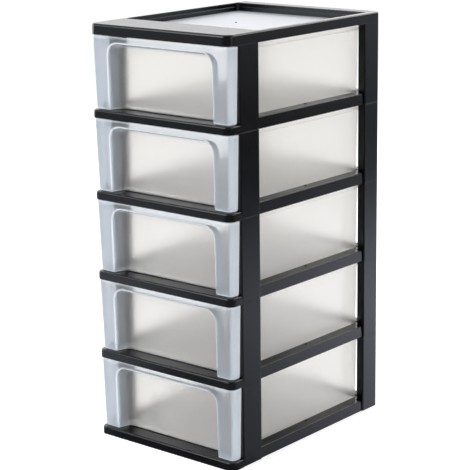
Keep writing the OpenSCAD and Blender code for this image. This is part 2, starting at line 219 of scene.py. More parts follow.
def passing_share(tree, block, edge):
    """The share of light that passes. block is 1 in the front block, edge is 1 on rounded edges."""
    facing = add(tree, "ShaderNodeNewGeometry").outputs["True Normal"]
    turned = add(tree, "ShaderNodeSeparateXYZ", Vector=facing).outputs
    forward = add(tree, "ShaderNodeMath", EITHER_WAY, in0=turned["Y"])
    face = add(tree, "ShaderNodeMapRange", Value=forward, **LOOKS_FORWARD)
    front = add(tree, "ShaderNodeMix", NUMBERS, Factor=face, A=WALL_SHARE, B=FACE_SHARE)
    straight = add(tree, "ShaderNodeMapRange", Value=block, To_Min=TUB_SHARE, To_Max=front)
    slant = add(tree, "ShaderNodeLayerWeight", Blend=SLANT_BLEND).outputs["Facing"]
    longer = add(tree, "ShaderNodeMath", TIMES, in0=slant, in1=block)
    kept = add(tree, "ShaderNodeMapRange", Value=longer, To_Min=1.0, To_Max=1 - SLANT_LOSS)
    upright = add(tree, "ShaderNodeMath", TIMES, in0=straight, in1=kept)
    level = add(tree, "ShaderNodeMath", EITHER_WAY, in0=turned["Z"])
    flat = add(tree, "ShaderNodeMapRange", Value=level, **LIES_FLAT)
    wall = add(tree, "ShaderNodeMix", NUMBERS, Factor=flat, A=upright, B=FLOOR_SHARE)
    return add(tree, "ShaderNodeMix", NUMBERS, Factor=edge, A=wall, B=EDGE_SHARE)


print(f"light passed: tub {TUB_SHARE:.0%}, lobe walls {WALL_SHARE:.0%}, floors {FLOOR_SHARE:.0%}")

# %% [markdown]
# ### The whole finish
# The front block's haze is finer, because what lies behind its walls is close to them, and its
# white is painted cooler, a tint that stands in for the cool cast of the light on it. Milky plastic
# carries light inside itself and lets it out at its rims, so rounded edges look brighter than the
# walls beside them. A faint painted glow, an emission on the marked edges, stands in for that light,
# because following such light inside a thin wall would take far too many bounces. The frosted skin
# is a fine grain of about a tenth of a millimetre, drawn at 0.6 mm so that it shows.

# %% Frosted polypropylene
FROST_GRAIN_MM, FROST_CLOUD_MM = 0.6, 60
FROST_DEPTH_MM = 0.01
WINDOW_Y_MM, BLOCK_Y_MM = -153.0, -160.0
TUB_HAZE = {"To_Min": 0.6, "To_Max": 0.7}  # the roughness, which hides what lies further back
BLOCK_HAZE = 0.35
BODY_IOR = 1.07
SHINE, SHINE_ROUGHNESS = 0.8, 0.14
PAINTED_EDGE_GLOW = 0.28


def frosted_polypropylene():
    """Natural, undyed polypropylene: milky walls that spread the light that passes them."""
    material, tree = new_material("frosted_polypropylene")
    place = add(tree, "ShaderNodeTexCoord").outputs["Object"]
    depth = add(tree, "ShaderNodeSeparateXYZ", Vector=place).outputs["Y"]
    block = add(tree, "ShaderNodeMapRange", Value=depth, From_Min=WINDOW_Y_MM * MM,
                From_Max=BLOCK_Y_MM * MM)
    edge = add(tree, "ShaderNodeAttribute", {"attribute_name": EDGE}).outputs["Fac"]
    cloud = add(tree, "ShaderNodeTexNoise", Vector=place, Scale=per_metre(FROST_CLOUD_MM), Detail=2.0)
    grain = add(tree, "ShaderNodeTexNoise", Vector=place, Scale=per_metre(FROST_GRAIN_MM), Detail=2.0)
    # The front block's cooler white is a painted tint that stands in for the cool cast of the light on
    # it
    colour = add(tree, "ShaderNodeMix", COLOURS, Factor=block, A=srgb("#fffefc"), B=srgb("#eef3f8"))
    haze = add(tree, "ShaderNodeMapRange", Value=cloud, **TUB_HAZE)
    gloss = add(tree, "ShaderNodeMix", NUMBERS, Factor=block, A=haze, B=BLOCK_HAZE)
    # Painted light: the marked edges emit a faint glow of their own, in place of light carried inside
    # the wall
    painted_glow = add(tree, "ShaderNodeMath", TIMES, in0=edge, in1=PAINTED_EDGE_GLOW)
    skin = add(tree, "ShaderNodeBump", Height=grain, Strength=1.0, Distance=FROST_DEPTH_MM * MM)
    surface = add(tree, "ShaderNodeBsdfPrincipled", Base_Color=colour, Roughness=gloss, IOR=BODY_IOR,
                  Transmission_Weight=passing_share(tree, block, edge),
                  Emission_Color=srgb("#fafcff"), Emission_Strength=painted_glow, Coat_Weight=SHINE,
                  Coat_Roughness=SHINE_ROUGHNESS, Coat_IOR=PP_IOR, Normal=skin)
    add(tree, "ShaderNodeOutputMaterial", Surface=surface)
    return material


FROSTED = frosted_polypropylene()
print(f"{FROSTED.name} has {len(FROSTED.node_tree.nodes)} nodes")

# %% [markdown]
# ## White polypropylene
# The loose panel in the top tray is a flat sheet of opaque white plastic, moulded to a soft sheen.
# As the mould fills, the plastic runs along it and leaves very faint streaks. They could be drawn
# as stripes, but a noise that is stretched along the panel is less regular, as real streaks are.

# %% White polypropylene
STREAK_W_MM, STREAK_L_MM = 4, 100
STREAK_DEPTH_MM = 0.01
PANEL_ROUGHNESS = 0.34


def white_polypropylene():
    """Opaque white plastic with a soft sheen and faint streaks along the way that it ran."""
    material, tree = new_material("white_polypropylene")
    place = add(tree, "ShaderNodeTexCoord").outputs["Object"]
    lengthwise = (1.0, STREAK_W_MM / STREAK_L_MM, 1.0)
    stretched = add(tree, "ShaderNodeMapping", Vector=place, Scale=lengthwise)
    streak = add(tree, "ShaderNodeTexNoise", Vector=stretched, Scale=per_metre(STREAK_W_MM), Detail=3.0)
    colour = add(tree, "ShaderNodeMix", COLOURS, Factor=streak, A=srgb("#c9cbcf"), B=srgb("#d1d2d5"))
    skin = add(tree, "ShaderNodeBump", Height=streak, Strength=1.0, Distance=STREAK_DEPTH_MM * MM)
    surface = add(tree, "ShaderNodeBsdfPrincipled", Base_Color=colour, Roughness=PANEL_ROUGHNESS,
                  IOR=PP_IOR, Normal=skin)
    add(tree, "ShaderNodeOutputMaterial", Surface=surface)
    return material


WHITE = white_polypropylene()
print(f"{WHITE.name} has {len(WHITE.node_tree.nodes)} nodes")

# %% [markdown]
# ## Dressing the black mouldings and the panel
# The frame's own pieces keep their shapes, and each gets its plastic in every material slot that
# it has. Assigning by name would need a list of 27 pieces. Only the panel is white and only the
# drawers are frosted, so two tests on the name are enough.

# %% Dress the frame's pieces
def dress(piece, material):
    """Gives a piece one material in all its slots."""
    for slot in piece.material_slots:
        slot.material = material


mouldings = {name: node for name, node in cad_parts.items() if not name.startswith("drawer_")}
for name, node in mouldings.items():
    dress(node, WHITE if name == "top_panel" else BLACK)
print("dressed", len(mouldings), "mouldings")

# %% [markdown]
# ## The drawer's lines
# A drawer is one thin wall everywhere: a tub, and in front of it a wider block with two lobes and
# an arched finger recess between them. The mould opens upwards, so every wall leans out a little
# towards the top. Blocks could be joined and hollowed with booleans, but the lean, the soft corners
# and the even wall come out cleaner when points are laid where the walls stand. These functions
# say where each wall is at a height above the foot of its shelf.

# %% Where the walls stand
TOP_Z, LOW_Z = 119.7, 12.7
SHOULDER_Y = -154.6


def along(z, low, high):
    """A value that goes evenly from low, at the foot of a wall, to high, at its top."""
    return low + (high - low) * (z - LOW_Z) / (TOP_Z - LOW_Z)


def tub_half(z):
    """Half the width of the tub."""
    return along(z, 108.1, 110.3)


def tub_back(z):
    """The back wall of the tub."""
    return along(z, 155.0, 155.5)


def block_half(z):
    """Half the width of the front block, over both lobes."""
    return along(z, 126.6, 129.2)


def block_front(z):
    """The front face of the lobes."""
    return along(z, -172.5, -175.0)


def window_face(z):
    """The window at the back of the finger recess."""
    return along(z, -151.5, -154.2)


print(f"the front block is {2 * block_half(TOP_Z):.1f} mm wide, the tub {2 * tub_half(TOP_Z):.1f} mm")

# %% [markdown]
# ## Rounded corners along a path
# The plan of the drawer and the profile of its recess are both broken lines with rounded corners.
# A bevel modifier would round finished edges, but here rows of points have to keep the same count
# at every height. So one function rounds any such line: it steps back from the corner along both
# sides and bridges the gap with an arc of a fixed number of steps.

# %% Round the corners of a broken line
ARC_STEPS = 6


def rounded(points, radii, steps=ARC_STEPS):
    """The flat line through points, with each inner corner turned by an arc of its radius."""
    line = [Vector(points[0])]
    for before, corner, after, r in zip(points, points[1:], points[2:], radii):
        corner = Vector(corner)
        if r == 0:
            line.append(corner)
            continue
        a = (Vector(before) - corner).normalized()
        b = (Vector(after) - corner).normalized()
        half = a.angle(b) / 2
        centre = corner + (a + b).normalized() * (r / math.sin(half))
        start = corner + a * (r / math.tan(half)) - centre
        sweep = math.pi - 2 * half
        way = math.copysign(sweep / steps, a.cross(b))
        for i in range(steps + 1):
            c, s = math.cos(-way * i), math.sin(-way * i)
            line.append(centre + Vector((start.x * c - start.y * s, start.x * s + start.y * c)))
    line.append(Vector(points[-1]))
    return line


print("one rounded corner has", len(rounded([(0, 0), (9, 0), (9, 9)], [2])), "points with its ends")

# %% [markdown]
# ## The drawer as a sheet
# The outer face of the whole drawer is built as one sheet of quads. Rings of the arch's outline
# run from the front face over a rounded edge, back along the recess and through a soft hollow
# fillet to the window. Columns of points run up the walls, round the corner of each lobe, in at
# the shoulder and round the tub. The foot of every wall rolls under into the floor.
# A front and a tub could be made apart and joined, but light shows every seam in a see-through
# wall. Rings and columns share their heights instead, so that they meet point for point.

# %% Heights shared by the columns and the rings
BLOCK_FOOT_R, TUB_FOOT_R = 2.5, 1.5
ARCH_HALF, ARCH_TOP, ARCH_R = 97.5, 110.0, 18.0
ARCH_SPRING = ARCH_TOP - ARCH_R
SIDE_STEPS, BEND_STEPS, CROWN_STEPS = 7, 5, 6
BESIDE_BEND_Z = [98, 104]  # two heights beside the arch's bend
RIM_H, RIM_OUT, RIM_STEP, RIM_FLAT_Z = 8.7, 1.6, 0.8, 116
FIRST_RIM_HEIGHT = SIDE_STEPS + 4  # the first height of a column that belongs to the rim


def wall_heights(share):
    """Heights up a wall, from the top of the foot's rounding to the rim.
    share is 0 at the lobes, whose foot is rounder, and 1 at the tub."""
    low = LOW_Z + BLOCK_FOOT_R + (TUB_FOOT_R - BLOCK_FOOT_R) * share
    straight = [low + (ARCH_SPRING - low) * i / SIDE_STEPS for i in range(SIDE_STEPS + 1)]
    rim_low = TOP_Z - RIM_H
    rim = [rim_low - RIM_STEP, rim_low, rim_low + RIM_STEP, RIM_FLAT_Z, TOP_Z]
    return straight + BESIDE_BEND_Z + rim


def between(value, low, high):
    """How far value is from low to high, from 0 to 1."""
    return min(max((value - low) / (high - low), 0), 1)


print("heights at a lobe:", [round(z) for z in wall_heights(0)])

# %% [markdown]
# ### The finger recess
# Fingers reach in under the arch and pull on its edge, so that edge is well rounded. A slide in
# the mould shapes the recess and draws out to the front, so the recess narrows towards the window.
# It could be cut out with a block, but its corners would then need rounding one by one. A profile
# that runs round the arch rounds them all at once: over the edge, along the wall, into the hollow.

# %% One ring of the recess
RECESS_D, RECESS_DRAFT = 21.0, 6.0
ARCH_R_FALL = 0.67  # how much smaller the corner gets for each millimetre inside the arch
FOOT_CHANGE = (0.7, 0.9)  # how deep in the recess the lobe's foot passes into the tub's


def mirrored(left):
    """The right half of a ring, from the points of its left half."""
    return [(-x, z) for x, z in reversed(left)]


def crown_steps(half):
    """The places across the flat top of a ring."""
    return [-half + 2 * half * i / CROWN_STEPS for i in range(1, CROWN_STEPS)]


def arch_ring(inset, depth):
    """A ring from the arch's bottom left over its top to the bottom right.
    inset is how far it lies inside the arch's outline, depth goes from 0 at the front face to 1."""
    half, top = ARCH_HALF - inset, ARCH_TOP - inset
    r = ARCH_R - inset * (ARCH_R_FALL if inset > 0 else 1)
    heights = wall_heights(between(depth, *FOOT_CHANGE))
    low, spring = heights[0], top - r
    stretch = (spring - low) / (ARCH_SPRING - low)
    left = [(-half, low + (z - low) * stretch) for z in heights[:SIDE_STEPS + 1]]
    turns = len(heights) - 1 - SIDE_STEPS + BEND_STEPS
    for i in range(1, turns + 1):
        angle = math.radians(90 * i / turns)
        left.append((-half + r - r * math.cos(angle), spring + r * math.sin(angle)))
    ring = left + [(x, top) for x in crown_steps(half - r)] + mirrored(left)
    return [(x, block_front(z) + depth * (window_face(z) - block_front(z)), z) for x, z in ring]


print("a ring has", len(arch_ring(0, 0)), "points")

# %% All rings from the front face to the window
RECESS_EDGE_R, RECESS_HOLLOW_R, PROFILE_STEPS = 3.0, 8.0, 7
FACE_STRIP, WINDOW_STRIP = 5, 18
LOBE_R = 8.0
FACE_SPLIT = 0.6  # where an extra ring divides the front face


def front_border():
    """The front face's own border, point for point beside the rings."""
    left = [(-(block_half(z) - LOBE_R), z) for z in wall_heights(0)]
    corner, flat = left[-1][0], -(ARCH_HALF - ARCH_R)
    left += [(corner + (flat - corner) * i / BEND_STEPS, TOP_Z) for i in range(1, BEND_STEPS + 1)]
    border = left + [(x, TOP_Z) for x in crown_steps(-flat)] + mirrored(left)
    return [(x, block_front(z), z) for x, z in border]


def front_rings():
    """All rings, from the border of the front face to the flat of the window."""
    corners = [(-FACE_STRIP, 0), (0, 0), (RECESS_DRAFT, RECESS_D), (WINDOW_STRIP, RECESS_D)]
    profile = rounded(corners, [RECESS_EDGE_R, RECESS_HOLLOW_R], PROFILE_STEPS)
    rings = [arch_ring(p.x, p.y / RECESS_D) for p in profile]
    border = front_border()
    halfway = [Vector(a).lerp(Vector(b), FACE_SPLIT) for a, b in zip(border, rings[0])]
    return [border, halfway] + rings


print(f"{len(front_rings())} rings of {len(front_rings()[0])} points")

# %% [markdown]
# ### The walls
# Seen from above, the wall turns round the front corner of a lobe, runs straight back, turns in
# at the shoulder and goes on as the side of the tub. Behind the shoulder the top of the tub steps
# out into a rim, which stiffens it. Extruding one plan upwards would be simpler, but the walls
# lean, so the plan is drawn anew at each height and its points are joined upwards into columns.

# %% The plan at one height
SHOULDER_R, SHOULDER_LEAD, ARMPIT_R, TUB_R = 3.0, 1, 2.0, 7.0
RIM_START_Y, RIM_FULL_Y = -152, -147
MID_SIDE_Y, MID_BACK_X = 0, 60


def plan_at(z):
    """Plan of the right half at one height, from the front face round to the middle of the back."""
    half, side, front, back = block_half(z), tub_half(z), block_front(z), tub_back(z)
    lobe = [(half - LOBE_R, front), (half, front), (half, SHOULDER_Y - SHOULDER_R - SHOULDER_LEAD),
            (half, SHOULDER_Y)]
    tub = [(side, SHOULDER_Y), (side, RIM_START_Y), (side, RIM_FULL_Y), (side, MID_SIDE_Y),
           (side, back), (MID_BACK_X, back), (0, back)]
    return rounded(lobe + tub, [LOBE_R, 0, SHOULDER_R, ARMPIT_R, 0, 0, 0, TUB_R, 0])[1:]


print("the right half of the plan has", len(plan_at(TOP_Z)), "points")

# %% The columns round the lobes and the tub
LOBE_X, TUB_X = 126, 114  # between these the lobe's foot passes into the tub's, on the shoulder
BEHIND_LOBES_Y = SHOULDER_Y - 0.5


def outward(line, i):
    """The direction out of the drawer at one point of its plan."""
    ahead = line[i + 1] if i + 1 < len(line) else Vector((-line[i - 1].x, line[i - 1].y))
    way = (ahead - line[max(i - 1, 0)]).normalized()
    return Vector((way.y, -way.x))


def wall_columns():
    """Columns of points up the walls, from the right of the front face round to its left."""
    columns = []
    for i, top_point in enumerate(plan_at(TOP_Z)):
        rim = between(top_point.y, RIM_START_Y, RIM_FULL_Y) * RIM_OUT
        share = between(top_point.x, LOBE_X, TUB_X) if top_point.y > BEHIND_LOBES_Y else 0
        column = []
        for k, z in enumerate(wall_heights(share)):
            line = plan_at(z)
            p = line[i] + outward(line, i) * (rim if k >= FIRST_RIM_HEIGHT else 0)
            column.append((p.x, p.y, z))
        columns.append(column)
    return columns + [[(-x, y, z) for x, y, z in column] for column in reversed(columns[:-1])]


print(f"{len(wall_columns())} columns of {len(wall_columns()[0])} points")

# %% [markdown]
# ## The foot and the floor
# The lower ends of the columns and rings form one closed loop. It is drawn inwards along a
# quarter of a circle, so that every wall rolls under to the same level. A bevel would roll it too,
# but with one radius all round, and the lobes' foot is rounder than the tub's. The lobes get a flat
# floor there. The tub stands on a ring, inside which its floor is raised by a gentle slope, so
# that the drawer slides on a narrow foot and its floor clears the stop on the shelf.

# %% Roll the walls under
FOOT_TURNS = 4


def inward(loop, i):
    """How a point of a loop moves when every side of the loop moves inwards by one."""
    a, b, c = (Vector(loop[(i + k) % len(loop)][:2]) for k in (-1, 0, 1))
    first, second = (b - a).normalized(), (c - b).normalized()
    n1, n2 = Vector((-first.y, first.x)), Vector((-second.y, second.x))
    return (n1 + n2) / (1 + n1.dot(n2))


def foot_loops(loop):
    """The loops of the rounding, from the walls' lower ends to the edge of the floor."""
    moves = [inward(loop, i) for i in range(len(loop))]
    loops = []
    for k in range(FOOT_TURNS + 1):
        angle = math.radians(90 * k / FOOT_TURNS)
        loops.append([(x + m.x * (z - LOW_Z) * (1 - math.cos(angle)),
                       y + m.y * (z - LOW_Z) * (1 - math.cos(angle)),
                       z - (z - LOW_Z) * math.sin(angle)) for (x, y, z), m in zip(loop, moves)])
    return loops


step = inward([(0, 0), (9, 0), (9, 9), (0, 9)], 0)
print(f"the corner of a square moves {step.x:.0f} along each side when its sides move in by one")

# %% [markdown]
# ### Rows of quads, and what they know
# Two neighbouring rows of points make a strip of quads. While a point is laid, it is known whether
# it lies on a rounded edge, and finding that out again from the finished mesh would be guesswork.
# So each point gets a number for it at once, as a mesh attribute that the material reads.

# %% Lay quads between rows
def add_grid(mesh, rows, edge=None):
    """Adds quads between neighbouring rows of points, which all have the same length.
    edge tells, for a row and a point, how much that point belongs to a rounded edge."""
    made = [[mesh.verts.new(p) for p in row] for row in rows]
    layer = mesh.verts.layers.float.get(EDGE)
    for k, row in enumerate(made if edge else []):
        for i, vert in enumerate(row):
            vert[layer] = edge(k, i, vert.co)
    for row, after in zip(made, made[1:]):
        for a, b, c, d in zip(row, row[1:], after[1:], after):
            mesh.faces.new((a, b, c, d))
    return made


trial = bmesh.new()
add_grid(trial, [[(x, y, 0) for x in range(4)] for y in range(3)])
print("three rows of four points give", len(trial.faces), "quads")
trial.free()

# %% Which points lie on rounded edges
# These values make the edges milkier, and they also drive the painted glow on them
TOP_WEIGHT, TURN_WEIGHT = 0.5, 0.6  # upper edges, and the lobes' turn at the shoulder
RING_WEIGHTS = (0.0, 0.3, 0.8, 1.0, 0.8, 0.4, 0.1)
FIRST_ROUND_RING, FACE_RINGS = 3, 2
FOOT_WEIGHTS = (0.0, 0.8, 1.0, 0.8, 0.2)
NEAR = 0.1  # a point this close to a height or a wall counts as lying on it
IN_LOBES_Y = SHOULDER_Y - 1


def ring_edge(k, i, place):
    """The rings that turn round the edge of the arch, and the upper edge of the front."""
    top = TOP_WEIGHT if k < FACE_RINGS and place.z > TOP_Z - NEAR else 0.0
    turn = k - FIRST_ROUND_RING
    return max(top, RING_WEIGHTS[turn] if 0 <= turn < len(RING_WEIGHTS) else 0.0)


def column_edge(k, i, place):
    """The lobes' upper edge and their turn at the shoulder."""
    if place.y > SHOULDER_Y + NEAR:
        return 0.0
    turn = between(place.y, SHOULDER_Y - SHOULDER_R, SHOULDER_Y - SHOULDER_R / 2)
    return max(turn * TURN_WEIGHT, TOP_WEIGHT if place.z > TOP_Z - NEAR else 0.0)


def foot_edge(k, i, place):
    """The rounding under the lobes."""
    return FOOT_WEIGHTS[k] if place.y < IN_LOBES_Y else 0.0


print("edge values round the arch:", RING_WEIGHTS)

# %% [markdown]
# ### Closing the sheet underneath
# Each lobe has a floor of its own, and a narrow neck leads from it to the tub. The tub's foot is a
# flat ring, and inside it a short slope lifts the floor. One large face could close it all, but it
# would not be flat, so each part gets a face of its own.

# %% The foot of the tub
RING_W, RING_SLOPE, RING_CORNER_R = 4.0, 6.0, 4.0
FLOOR_Z = 14.2


def ring_loop(inset, z):
    """A rounded rectangle inside the foot of the tub, this far in from its walls."""
    x, y0, y1 = tub_half(LOW_Z) - inset, window_face(LOW_Z) + inset, tub_back(LOW_Z) - inset
    corners = [(0, y0), (x, y0), (x, y1), (-x, y1), (-x, y0), (0, y0)]
    return [(p.x, p.y, z) for p in rounded(corners, [RING_CORNER_R] * 4)]


def tub_foot(sheet, outline):
    """The flat ring that the tub stands on, the slope inside it and the raised floor."""
    inset = TUB_FOOT_R + RING_W
    ring, floor = add_grid(sheet, [ring_loop(inset, LOW_Z), ring_loop(inset + RING_SLOPE, FLOOR_Z)])
    sheet.faces.new(floor[:-1])
    borders = []
    for loop in (outline, ring[:-1]):
        for a, b in zip(loop, loop[1:] + loop[:1]):
            borders.append(sheet.edges.get((a, b)) or sheet.edges.new((a, b)))
    bmesh.ops.triangle_fill(sheet, edges=borders, use_beauty=True, normal=(0, 0, -1))


print(f"the floor is {FLOOR_Z - LOW_Z:.1f} mm above the foot that the tub stands on")

# %% The floors of the lobes and their necks
SAME = 0.01  # heights closer than this are the same height


def floor_faces(sheet, loop, edge):
    """Closes the sheet underneath: a floor for each lobe, a neck behind it, and the tub's foot."""
    count = len(loop)
    in_lobe = [z > LOW_Z + BLOCK_FOOT_R - SAME for x, y, z in loop]
    in_tub = [z < LOW_Z + TUB_FOOT_R + SAME for x, y, z in loop]
    starts = [i for i in range(count) if in_lobe[i] and not in_lobe[i - 1]]
    for start in starts:
        run = [start]
        while in_lobe[(run[-1] + 1) % count]:
            run.append((run[-1] + 1) % count)
        sheet.faces.new([edge[i] for i in run])
        neck_in, neck_out = [run[0]], [run[-1]]
        while not in_tub[neck_in[-1]]:
            neck_in.append((neck_in[-1] - 1) % count)
        while not in_tub[neck_out[-1]]:
            neck_out.append((neck_out[-1] + 1) % count)
        sheet.faces.new([edge[i] for i in reversed(neck_in)] + [edge[i] for i in neck_out])
    tub_foot(sheet, [edge[i] for i in range(count) if in_tub[i]])
    print("closed the floors of", len(starts), "lobes")


# %% [markdown]
# ### The whole outer face
# Now the rings, the columns and the loops of the foot are laid into one sheet. Where they meet
# they have the same points twice, and merging those by distance sews the sheet together.

# %% The drawer's outer face
MERGE = 0.0005  # points closer than this are one point


def drawer_sheet():
    """The outer face of a drawer as one open sheet, in millimetres."""
    sheet = bmesh.new()
    sheet.verts.layers.float.new(EDGE)
    rings, columns = front_rings(), wall_columns()
    inner_ring = add_grid(sheet, rings, ring_edge)[-1]
    add_grid(sheet, columns, column_edge)
    sheet.faces.new(inner_ring)
    loop = [column[0] for column in columns]
    loop += [ring[0] for ring in rings[1:]] + [ring[-1] for ring in reversed(rings[1:])]
    loops = foot_loops([tuple(p) for p in loop])
    edge = add_grid(sheet, [ring + ring[:1] for ring in loops], foot_edge)[-1][:-1]
    floor_faces(sheet, loops[0], edge)
    bmesh.ops.remove_doubles(sheet, verts=sheet.verts, dist=MERGE)
    bmesh.ops.recalc_face_normals(sheet, faces=sheet.faces)
    return sheet


SHEET = drawer_sheet()
RIM_EDGES = sum(e.is_boundary for e in SHEET.edges)
print(f"the sheet has {len(SHEET.faces)} faces, and {RIM_EDGES} open edges along its rim")

# %% [markdown]
# ## From sheet to wall
# Solidify gives the sheet its thickness on the inside, as the mould's core does. Modelling the
# inside by hand would give the same wall with twice the work. Only the cut upper edge is square
# then, and a bevel rounds it. Weighted normals keep the large flats flat.

# %% Plain meshes and objects
def plain_mesh(source, name):
    """The source object's mesh with its modifiers applied, as a new mesh."""
    bpy.context.view_layer.update()
    evaluated = source.evaluated_get(bpy.context.evaluated_depsgraph_get())
    mesh = bpy.data.meshes.new_from_object(evaluated)
    mesh.name = name
    return mesh


def new_object(name, mesh):
    """An object in the scene that shows this mesh."""
    thing = bpy.data.objects.new(name, mesh)
    bpy.context.scene.collection.objects.link(thing)
    return thing


# %% Make one drawer
WALL_T = 1.9
RIM_ROUND, RIM_SEGMENTS, RIM_ANGLE = 0.7, 3, 50


def drawer_wall(sheet):
    """One drawer's shell as a finished mesh in metres, at the height of the lowest tier."""
    bmesh.ops.scale(sheet, vec=(MM, MM, MM), verts=sheet.verts)
    mesh = bpy.data.meshes.new("drawer_sheet")
    sheet.to_mesh(mesh)
    sheet.free()
    mesh.shade_smooth()
    mesh.materials.append(FROSTED)
    source = new_object("drawer_sheet", mesh)
    wall = source.modifiers.new("wall", "SOLIDIFY")
    wall.thickness, wall.offset, wall.use_even_offset = WALL_T * MM, -1, True
    rim = source.modifiers.new("rim", "BEVEL")
    rim.width, rim.segments, rim.angle_limit = RIM_ROUND * MM, RIM_SEGMENTS, math.radians(RIM_ANGLE)
    source.modifiers.new("flats", "WEIGHTED_NORMAL")
    finished = plain_mesh(source, "drawer")
    bpy.data.objects.remove(source)
    return finished


DRAWER = drawer_wall(SHEET)
print(f"one drawer has {len(DRAWER.polygons)} faces")

# %% [markdown]
# ## Runners
# Two low runners under the tub carry the drawer over the shelf. A bar joins them at the back and
# catches on the shelf's stop, so the drawer can't be pulled right out by mistake. They could be
# part of the sheet, but a moulded rib meets a floor nearly square, so bevelled bars that stand a
# little way into the floor look the same and are far simpler.

# %% The runners
RUNNER_X, RUNNER_W, RUNNER_Z = 95.0, 2.0, 12.5  # place, width and lower edge
RUNNER_FRONT_Y, CATCH_BACK_Y = -140.0, 144.0
RUNNER_BEVEL, RUNNER_SEGMENTS = 0.4, 2


def add_bar(mesh, low, high):
    """Adds a box between two corners."""
    made = bmesh.ops.create_cube(mesh, size=1)["verts"]
    size = Vector(high) - Vector(low)
    bmesh.ops.scale(mesh, vec=size, verts=made)
    bmesh.ops.translate(mesh, vec=(Vector(low) + Vector(high)) / 2, verts=made)


def runners():
    """Both runners and the catch bar as one mesh in metres, at the height of the lowest tier."""
    bars = bmesh.new()
    half, top, bar_front = RUNNER_W / 2, FLOOR_Z + WALL_T / 2, CATCH_BACK_Y - RUNNER_W
    for x in (-RUNNER_X, RUNNER_X):
        add_bar(bars, (x - half, RUNNER_FRONT_Y, RUNNER_Z), (x + half, bar_front, top))
    add_bar(bars, (-RUNNER_X - half, bar_front, RUNNER_Z), (RUNNER_X + half, CATCH_BACK_Y, top))
    bmesh.ops.bevel(bars, geom=bars.edges[:], offset=RUNNER_BEVEL, segments=RUNNER_SEGMENTS,
                    affect="EDGES")
    bmesh.ops.scale(bars, vec=(MM, MM, MM), verts=bars.verts)
    mesh = bpy.data.meshes.new("runners")
    bars.to_mesh(mesh)
    bars.free()
    mesh.materials.append(FROSTED)
    return mesh


RUNNERS = runners()
print("the runners and their bar have", len(RUNNERS.polygons), "faces")

# %% [markdown]
# ## Five drawers
# All five drawers come from one mould. Linked copies would share one mesh, but a piece's place has
# to be in its mesh, so each tier gets a copy that is lifted to its height. A drawer's shell and
# runners ride on that drawer's body, and the shell takes the place of the frame's plain drawer.

# %% Place the drawers
for tier in range(1, TIERS + 1):
    lift = Matrix.Translation((0, 0, (tier - 1) * TIER_H * MM))
    for mesh, name in ((DRAWER, "drawer_shell"), (RUNNERS, "drawer_runners")):
        placed = mesh.copy()
        placed.transform(lift)
        piece = new_object(f"{name}_{tier}", placed)
        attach(piece, f"drawer_{tier}")
        if mesh is DRAWER:
            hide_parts(f"drawer_{tier}")
print("placed", TIERS, "drawers")

# %% [markdown]
# ## Gate marks
# Plastic enters a mould through a small gate, and where it is broken off a low nub stays. Every
# shelf has one in the middle of each side ledge. The top panel has one near its middle, where a dark
# speck shows. That nub gets the black plastic, which paints the speck in as shade on the white panel.
# Eleven nubs could be placed by a loop, but a tree of geometry nodes says the rule: a line of points
# on the right, one for each tier, its mirror image on the left, and a low cone on every point. Its
# result becomes a plain mesh.

# %% The tree that places the nubs
NUB_SIDES, NUB_TAPER = 24, 0.75
NUB_MERGE_MM = 0.01


def nub_tree():
    """Geometry nodes that stack low cones, tier above tier, with or without a mirrored row."""
    tree = bpy.data.node_groups.new("gate_nubs", "GeometryNodeTree")
    kinds = {"Tiers": "Int", "Tier height": "Vector", "First place": "Vector", "Mirror": "Vector",
             "Radius": "Float", "Height": "Float", "Material": "Material"}
    for name, kind in kinds.items():
        tree.interface.new_socket(name=name, in_out="INPUT", socket_type=f"NodeSocket{kind}")
    tree.interface.new_socket(name="Nubs", in_out="OUTPUT", socket_type="NodeSocketGeometry")
    given = add(tree, "NodeGroupInput").outputs
    row = add(tree, "GeometryNodeMeshLine", Count=given["Tiers"], Start_Location=given["First place"],
              Offset=given["Tier height"])
    other = add(tree, "GeometryNodeTransform", Geometry=row, Scale=given["Mirror"])
    rows = add(tree, "GeometryNodeJoinGeometry", Geometry=row)
    tree.links.new(other.outputs["Geometry"], rows.inputs["Geometry"])
    narrow = add(tree, "ShaderNodeMath", TIMES, in0=given["Radius"], in1=NUB_TAPER)
    cone = add(tree, "GeometryNodeMeshCone", Vertices=NUB_SIDES, Radius_Top=narrow,
               Radius_Bottom=given["Radius"], Depth=given["Height"])
    placed = add(tree, "GeometryNodeInstanceOnPoints", Points=rows, Instance=cone)
    solid = add(tree, "GeometryNodeRealizeInstances", Geometry=placed)
    merged = add(tree, "GeometryNodeMergeByDistance", Geometry=solid, Distance=NUB_MERGE_MM * MM)
    dyed = add(tree, "GeometryNodeSetMaterial", Geometry=merged, Material=given["Material"])
    add(tree, "NodeGroupOutput", Nubs=dyed)
    return tree


NUBS = nub_tree()
print("the tree has", len(NUBS.nodes), "nodes")

# %% Gate marks
NUB_D, NUB_H, NUB_SUNK = 3.6, 0.9, 0.1
LEDGE_NUB_MM = (111.5, 17.0, 17.0)
PANEL_NUB_MM = (-23.0, 25.0, 609.4)
BOTH_SIDES, ONE_SIDE = (-1, 1, 1), (1, 1, 1)


def nubs(name, tiers, first_mm, mirror):
    """Runs the tree with these values and hands back its result as a plain piece."""
    x, y, z = first_mm
    values = {"Tiers": tiers, "Tier height": (0, 0, TIER_H * MM),
              "First place": (x * MM, y * MM, (z - NUB_SUNK) * MM), "Mirror": mirror,
              "Radius": NUB_D / 2 * MM, "Height": (NUB_H + NUB_SUNK) * MM, "Material": BLACK}
    source = new_object(name + "_source", bpy.data.meshes.new(name + "_source"))
    modifier = source.modifiers.new("nubs", "NODES")
    modifier.node_group = NUBS
    for item in NUBS.interface.items_tree:
        if item.in_out == "INPUT":
            modifier[item.identifier] = values[item.name]
    mesh = plain_mesh(source, name)
    bpy.data.objects.remove(source)
    return new_object(name, mesh)


